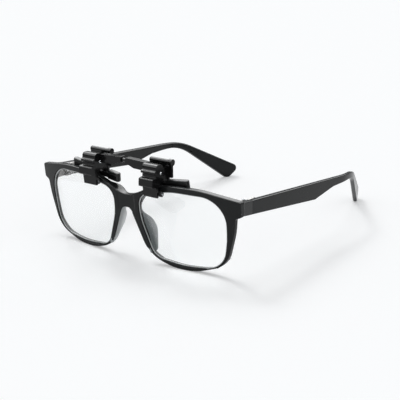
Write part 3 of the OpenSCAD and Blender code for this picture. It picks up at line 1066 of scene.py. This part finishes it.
@dataclass
class Temple:
    """One temple with its bent tip. Distances back are from the joint.

    Args:
        side: The side it is on.
        joint_y: Distance from the front plane back to the joint.
        thick: Thickness at the joint.
        top: Height of the top edge at the joint.
        low: Height of the low edge at the joint.
        end_x: Place across of the outer face at the joint.
        fall: Fall of the top edge in degrees.
        deep_at: Distance back to the deepest place.
        deep_h: Height at the deepest place.
        rise_at: Distance back to where the low edge has risen to the neck.
        rise_r: Radius of the low edge there.
        neck_at: Distance back to the end of the neck.
        neck_h: Height of the neck.
        neck_r: Radius under the end of the neck.
        bend_at: Distance back to the downward bend.
        bend_r: Radius of the top edge at the bend.
        tip_len: Length of the tip behind the bend.
        tip_fall: Fall of the tip in degrees.
        tip_t: Thickness of the tip.
        flat_at: Distance back to where the temple begins to grow thinner.
        curl_at: Distance back to where the temple turns inwards.
        curl_r: Radius of that turn.
        curl_fade: Length over which the thickness follows the turn.
        splay: Outward splay in degrees.
        curl: Inward turn of the tip in degrees.
        outer_edge: Radius of the edges on the outer side.
        inner_edge: Radius of the edges on the inner side.
        spacing: Distance under which the points of the outline are merged.
    """

    side: Side
    joint_y: float = 17.1
    thick: float = 3.5
    top: float = 40.4
    low: float = 32.7
    end_x: float = 67.8
    fall: float = 4.7
    deep_at: float = 62.5
    deep_h: float = 10.0
    rise_at: float = 82.5
    rise_r: float = 18.0
    neck_at: float = 111.2
    neck_h: float = 4.3
    neck_r: float = 30.0
    bend_at: float = 112.5
    bend_r: float = 36.0
    tip_len: float = 51.3
    tip_fall: float = 28.8
    tip_t: float = 2.9
    flat_at: float = 9.75
    curl_at: float = 105.0
    curl_r: float = 60.0
    curl_fade: float = 9.0
    splay: float = 1.55
    curl: float = 21.8
    outer_edge: float = 0.6
    inner_edge: float = 1.3
    spacing: float = 0.2

    def edge_z(self, at: float) -> float:
        """Returns the height of the straight top edge at a distance from the joint."""
        return self.top - at * math.tan(math.radians(self.fall))

    def corners(self) -> list:
        """Gives the corners of the side outline, as distance back and height.

        Returns:
            The corners. The first and the last are before the joint, and are cut off.
        """
        y = self.joint_y
        before = -2
        bend = Vector((y + self.bend_at, self.edge_z(self.bend_at)))
        down = math.radians(self.tip_fall)
        tip = bend + self.tip_len * Vector((math.cos(down), -math.sin(down)))
        return [
            Corner(y + before, self.low + 0.24, 0.3),
            Corner(y + self.deep_at, self.edge_z(self.deep_at) - self.deep_h, 1.5),
            Corner(y + self.rise_at, self.edge_z(self.rise_at) - self.neck_h - 1, self.rise_r),
            Corner(y + self.neck_at, self.edge_z(self.neck_at) - self.neck_h + 1.2,
                   self.neck_r),
            Corner(tip.x - 9.6, -1.2, 3.5),
            Corner(tip.x, tip.y, 3.4),
            Corner(bend.x, bend.y, self.bend_r),
            Corner(y + before, self.edge_z(before), 0.3),
        ]

    def cuts(self) -> list:
        """Returns where the outline is cut across, most closely at the bend."""
        straight = [self.joint_y + 5 * i for i in range(1, 17)]
        return straight + [102 + 3 * i for i in range(9)] + [130 + 5 * i for i in range(8)]

    def outer_x(self, at: float) -> float:
        """Gives the outer face's distance from the middle.

        Args:
            at: Distance behind the joint.

        Returns:
            The distance in millimetres.
        """
        grow, turn = math.tan(math.radians(self.splay)), math.tan(math.radians(self.curl))
        knee = self.end_x + self.curl_at * grow
        reach = self.curl_r * math.tan(math.radians((self.splay + self.curl) / 2))
        t = (at - self.curl_at) / reach
        if t <= -1:
            return self.end_x + at * grow
        if t >= 1:
            return knee - (at - self.curl_at) * turn
        blend = (t + 1) ** 2 / 4
        return knee + (at - self.curl_at) * grow - blend * reach * (grow + turn)

    def thickness(self, at: float) -> float:
        """Gives the temple's thickness across.

        Args:
            at: Distance behind the joint.

        Returns:
            The thickness in millimetres.
        """
        full = self.thick + min(at, self.flat_at) * math.tan(math.radians(self.splay))
        if at < self.flat_at:
            return full
        share = min(1.0, (at - self.flat_at) / (self.curl_at - self.flat_at - 1))
        slim = full + (self.tip_t - full) * share
        turned = min(1.0, max(0.0, (at - self.curl_at) / self.curl_fade + 0.5))
        return slim * (1 + turned * (1 / math.cos(math.radians(self.curl)) - 1))

    def build(self) -> None:
        """Builds the temple from its side outline, bent to its outline from above."""
        shaper = Shaper(Outline(self.corners(), 10, Plane.SIDE))
        shaper.slices(BACK, self.cuts())
        bmesh.ops.remove_doubles(shaper.bm, verts=shaper.bm.verts[:], dist=self.spacing)
        shaper.thicken(-ACROSS * self.thick)
        inner = -self.thick / 2
        shaper.soften(self.outer_edge, 4, 50, lambda middle: middle.x > inner)
        shaper.soften(self.inner_edge, 6, 50, lambda middle: middle.x < inner)
        shaper.cut(BACK * self.joint_y, -BACK)

        def between(p: Vector) -> Vector:
            """Sets a point of the flat slab between the two side faces.

            Args:
                p: The point.

            Returns:
                Its new place.
            """
            at = p.y - self.joint_y
            x = self.outer_x(at) + p.x / self.thick * self.thickness(at)
            return Vector((x, p.y, max(p.z, 0.0)))

        shaper.bend(between)
        shaper.set_on(self.side)
        tag = self.side.tag
        shaper.piece(f"temple_arm_{tag}", FRAME_BLACK, f"temple_{tag}", [f"temple_{tag}"])


@dataclass
class Hinge:
    """The two halves of a hinge and its screw.

    Args:
        bench: The workbench.
        side: The side it is on.
        parts: How each part is rounded.
    """

    bench: Workbench
    side: Side
    parts: Sequence[Rounding] = (
        Rounding("hinge_front", "hinge_front_leaf", HINGE_STEEL, "hinge_steel", 0.12, 2),
        Rounding("hinge_temple", "hinge_temple_leaf", HINGE_STEEL, "hinge_steel", 0.12, 2),
        Rounding("hinge_screw", "hinge_screw_head", STEEL, "hinge_steel", 0.08, 2),
    )

    def build(self) -> None:
        """Rounds the leaves and the screw."""
        for part in self.parts:
            self.bench.rounded_copy(part, self.side)


# ---------------- the carrier


@dataclass
class Spring:
    """The torsion spring round a clamp's axle.

    Args:
        bench: The workbench.
        side: The side it is on.
        wire: Radius of the wire.
        coil: Mean radius of the coil.
        turns: Number of turns.
        turn_steps: Steps of a turn.
        pitch: Distance from turn to turn.
        axle_y: Distance of the axle behind the front plane.
        axle_z: Height of the axle.
        unit_x: Distance of the clamp from the middle.
        leg_front: Length of the leg on the lever.
        leg_back: Length of the leg on the back plate.
    """

    bench: Workbench
    side: Side
    wire: float = 0.22
    coil: float = 1.4
    turns: int = 4
    turn_steps: int = 28
    pitch: float = 0.64
    axle_y: float = -4.2
    axle_z: float = 52.6
    unit_x: float = 21.0
    leg_front: float = 1.6
    leg_back: float = 5.93

    def build(self) -> None:
        """Spins the wire's section along the coil and draws out the two legs."""
        bm = bmesh.new()
        x0 = self.unit_x - self.turns * self.pitch / 2
        start = Matrix.Translation((x0, self.axle_y, self.axle_z - self.coil))
        section = bmesh.ops.create_circle(bm, cap_ends=False, segments=10, radius=self.wire,
                                          matrix=start @ Matrix.Rotation(math.pi / 2, 4, "X"))
        first = list(section["verts"])
        steps = self.turn_steps * self.turns
        spun = bmesh.ops.spin(bm, geom=list({e for v in first for e in v.link_edges}),
                              cent=(x0, self.axle_y, self.axle_z), axis=ACROSS,
                              dvec=(self.turns * self.pitch / steps, 0, 0),
                              angle=2 * math.pi * self.turns, steps=steps,
                              use_duplicate=False)
        last = only(spun["geom_last"], bmesh.types.BMEdge)
        self._leg(bm, last, BACK * self.leg_back)
        self._leg(bm, [e for e in {e for v in first for e in v.link_edges} if e.is_boundary],
                  -BACK * self.leg_front)
        bmesh.ops.holes_fill(bm, edges=bm.edges[:], sides=0)
        shaper = Shaper(bm=bm)
        shaper.set_on(self.side)
        node = f"torsion_spring_{self.side.tag}"
        shaper.piece(f"spring_coil_{self.side.tag}", STEEL, self.bench.body_of(node), [node],
                     60)

    @staticmethod
    def _leg(bm: bmesh.types.BMesh, edges: list, way: Vector) -> None:
        """Draws a leg out of the edges of an open end of the wire."""
        made = bmesh.ops.extrude_edge_only(bm, edges=edges)
        bmesh.ops.translate(bm, verts=only(made["geom"], bmesh.types.BMVert), vec=way)


@dataclass(frozen=True)
class JawBar:
    """The bar of a back jaw, with a rubber cap on each end.

    Args:
        centre: Middle of the bar.
        half: Half its length.
        yaw: Its turn along the wrap of the rim, in degrees.
        outer: Length of the outer cap.
        inner: Length of the inner cap.
        wall: Wall of a cap at its end.
        depth: Depth of a cap.
        height: Height of a cap.
        low: Drop of a cap's underside below the bar's middle.
        rise: Rise of the bar outwards, in degrees.
        lean: Forward lean in degrees.
        nose: Radius of a cap's end.
        mouth: Radius of a cap's other end.
        edge: Radius of a cap's long edges.
        clear: How far a cap's front face keeps back from the rim.
    """

    centre: tuple
    half: float
    yaw: float
    outer: float
    inner: float = 6.2
    wall: float = 0.45
    depth: float = 3.7
    height: float = 5.0
    low: float = 2.15
    rise: float = 5.5
    lean: float = 5.7
    nose: float = 1.55
    mouth: float = 0.6
    edge: float = 0.55
    clear: float = 0.5

    def place(self) -> Matrix:
        """Returns how the bar stands on the positive side."""
        return (Matrix.Translation(self.centre)
                @ Matrix.Rotation(math.radians(self.yaw), 4, "Z")
                @ Matrix.Rotation(-math.radians(self.rise), 4, "Y")
                @ Matrix.Rotation(math.radians(self.lean), 4, "X"))

    def build(self, bench: Workbench, side: Side) -> None:
        """Builds the two caps with their round noses.

        Args:
            bench: The workbench.
            side: The side they are on.
        """
        rear, front, far = -self.depth / 2, self.depth / 2 - self.clear, self.half + self.wall
        for word, way, long in (("out", 1, self.outer), ("in", -1, self.inner)):
            near = self.half - long
            cap = Shaper(Outline([
                Corner(near, rear, self.mouth), Corner(far, rear, self.nose),
                Corner(far, front, self.nose), Corner(near, front, self.mouth),
            ], 12))
            cap.cushion(self.height, self.edge, self.edge)
            cap.stand(self.place() @ Matrix.Scale(way, 4, ACROSS)
                      @ Matrix.Translation((0, 0, -self.low))
                      @ Matrix.Rotation(math.pi / 2, 4, "X"))
            cap.set_on(side)
            node = f"jaw_cap_{word}_{side.tag}"
            name = {"out": "jaw_cap_outer", "in": "jaw_cap_inner"}[word]
            cap.piece(f"{name}_{side.tag}", RUBBER, bench.body_of(node), [node])


@dataclass
class Clamp:
    """One spring clamp: levers, axle, spring, jaw caps and roller.

    Args:
        bench: The workbench.
        side: The side it is on.
        parts: How each part is rounded.
        bars: The jaw bar of each side's clamp.
    """

    bench: Workbench
    side: Side
    parts: Sequence[Rounding] = (
        Rounding("rear_lever", "back_plate", CLAMP_BLACK, "clamp_plastic", 0.3, 3),
        Rounding("front_lever", "ribbed_lever", CLAMP_BLACK, "clamp_plastic", 0.4, 4),
        Rounding("jaw_roller", "jaw_roller_rubber", RUBBER, "clamp_rubber", 0.25, 3),
        Rounding("roller_pin", "roller_pin_steel", STEEL, "clamp_steel", 0.12, 2),
        Rounding("axle", "axle_steel", STEEL, "clamp_steel", 0.18, 3),
    )
    bars: dict = field(default_factory=lambda: {
        Side.RIGHT: JawBar((23.2, 2.285, 44.96), 14.3, 4.17, 14.0),
        Side.LEFT: JawBar((25.8, 2.627, 45.21), 16.9, 4.68, 20.0, 7.0, 1.25),
    })

    def build(self) -> None:
        """Rounds every part of the clamp, caps its bar and winds its spring."""
        for part in self.parts:
            self.bench.rounded_copy(part, self.side)
        self.bars[self.side].build(self.bench, self.side)
        Spring(self.bench, self.side).build()


@dataclass
class Bridge:
    """The two halves of the carrier's bridge and the pin between them.

    Args:
        bench: The workbench.
        half: How a half is rounded.
        pin: How the pin is rounded.
    """

    bench: Workbench
    half: Rounding = Rounding("bridge_bar", "bridge_half", CLAMP_BLACK, "clamp_plastic", 0.3, 3)
    pin: Rounding = Rounding("guide_pin", "guide_pin_steel", CLAMP_BLACK, "clamp_steel", 0.15, 2)

    def build(self) -> None:
        """Rounds both halves and the pin."""
        for side in Side:
            self.bench.rounded_copy(self.half, side)
        self.bench.rounded_copy(self.pin)


# ---------------- studio


@dataclass(frozen=True)
class Lamp:
    """A soft lamp of the studio.

    Args:
        name: The lamp's name.
        place: Where it hangs, in metres. It points at the origin.
        spread: How wide the lamp looks from the object, in degrees.
        power: Power in watts on a square metre.
    """

    name: str
    place: tuple
    spread: float
    power: float

    def hang(self) -> None:
        """Adds the lamp to the scene."""
        data = bpy.data.lights.new(self.name, "SUN")
        data.angle = math.radians(self.spread)
        data.energy = self.power
        lamp = placed(self.name, data)
        lamp.location = self.place
        lamp.rotation_euler = (-Vector(self.place)).to_track_quat("-Z", "Y").to_euler()


@dataclass
class Studio:
    """Pale floor, soft lamps and the camera.

    Args:
        camera_place: The camera's place in metres.
        azimuth: Turn of the view in degrees.
        elevation: Height of the view in degrees.
        lens: Focal length in millimetres.
        sensor: Width of the sensor in millimetres.
        shift: Shift of the picture across and up.
        floor_size: Half the width of the floor in metres.
        glow: Brightness that the floor adds for seen rays.
        ambient: Brightness of the surroundings as they light the object.
        backdrop: Brightness of the surroundings as the camera sees them.
        mirrored: Brightness of the surroundings as gloss mirrors them, low and high up.
        soffit: Between which heights, of 1 for straight up, that brightness changes.
        lamps: The soft lamps.
    """

    camera_place: tuple = (0.2983, -0.41509, 0.1702)
    azimuth: float = 34.933
    elevation: float = 16.732
    lens: float = 78.13
    sensor: float = 36.0
    shift: tuple = (-0.07, -0.015)
    floor_size: float = 40.0
    glow: float = 0.26
    ambient: float = 0.5
    backdrop: float = 0.93
    mirrored: tuple = (0.15, 5.2)
    soffit: tuple = (0.27, 0.42)
    lamps: Sequence[Lamp] = (
        Lamp("key", (-0.42, 0.30, 0.85), 50.0, 1.05),
        Lamp("glint", (-0.58, 0.26, 0.76), 12.0, 0.40),
    )

    def build(self) -> None:
        """Builds the whole studio."""
        self._camera()
        self._floor()
        self._world()
        for lamp in self.lamps:
            lamp.hang()
        bpy.context.scene.view_settings.view_transform = "Standard"

    def _camera(self) -> None:
        """Sets the camera where the photograph was taken from."""
        data = bpy.data.cameras.new("camera")
        data.sensor_width = self.sensor
        data.sensor_fit = "HORIZONTAL"
        data.lens = self.lens
        data.shift_x, data.shift_y = self.shift
        data.clip_start = 0.01
        camera = placed("camera", data)
        camera.location = self.camera_place
        camera.rotation_euler = (math.radians(90 - self.elevation), 0,
                                 math.radians(self.azimuth))
        bpy.context.scene.camera = camera

    def _floor(self) -> None:
        """Lays a pale floor that keeps the object's shadow."""
        bm = bmesh.new()
        bmesh.ops.create_grid(bm, x_segments=1, y_segments=1, size=self.floor_size)
        mesh = bpy.data.meshes.new("floor")
        bm.to_mesh(mesh)
        bm.free()
        mat = bpy.data.materials.new("floor_paper")
        mat.use_nodes = True
        tree = mat.node_tree
        seen = self._rays(tree, "Is Camera Ray", "Is Glossy Ray", "Is Transmission Ray")
        feed(tree.nodes["Principled BSDF"], {
            "Base Color": (0.8, 0.81, 0.82, 1), "Roughness": 1.0, "Specular IOR Level": 0.0,
            "Emission Color": (1, 1, 1, 1),
            "Emission Strength": add(tree, "Math", {0: seen, 1: self.glow},
                                     operation="MULTIPLY")})
        mesh.materials.append(mat)
        placed("floor", mesh)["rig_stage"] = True

    @staticmethod
    def _rays(tree: bpy.types.NodeTree, *names: str) -> bpy.types.NodeSocket:
        """Adds a test for some kinds of rays.

        Args:
            tree: The node tree.
            names: The Light Path outputs to test.

        Returns:
            A socket that is 1 for such rays.
        """
        total = add(tree, "LightPath", output=names[0])
        path = total.node
        for name in names[1:]:
            total = add(tree, "Math", {0: total, 1: path.outputs[name]}, operation="MAXIMUM")
        return total

    def _world(self) -> None:
        """Makes the pale surroundings, which gloss mirrors dim low down and bright high up."""
        world = bpy.data.worlds.new("surroundings")
        world.use_nodes = True
        tree = world.node_tree
        seen = add(tree, "MapRange", {
            "Value": self._rays(tree, "Is Camera Ray", "Is Transmission Ray"),
            "To Min": self.ambient, "To Max": self.backdrop})
        way = add(tree, "TexCoord", output="Generated")
        height = add(tree, "MapRange", {
            "Value": add(tree, "SeparateXYZ", {"Vector": way}, "Z"),
            "From Min": self.soffit[0], "From Max": self.soffit[1],
            "To Min": self.mirrored[0], "To Max": self.mirrored[1]})
        strength = add(tree, "MapRange", {"Value": self._rays(tree, "Is Glossy Ray"),
                                          "To Min": seen, "To Max": height})
        feed(tree.nodes["Background"], {"Color": (0.985, 0.995, 1.0, 1), "Strength": strength})
        bpy.context.scene.world = world


def main(frame: dict, packed: object) -> None:
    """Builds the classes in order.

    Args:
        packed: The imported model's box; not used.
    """
    logging.basicConfig(level=logging.INFO, format="%(name)s: %(message)s")
    bench = Workbench(frame)
    Studio().build()
    shoes = Front(bench).build()
    NosePads().build(shoes)
    for side in Side:
        Temple(side).build()
        Hinge(bench, side).build()
        Clamp(bench, side).build()
    Bridge(bench).build()


if __name__ == "__main__":
    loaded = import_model()
    main(loaded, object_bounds())
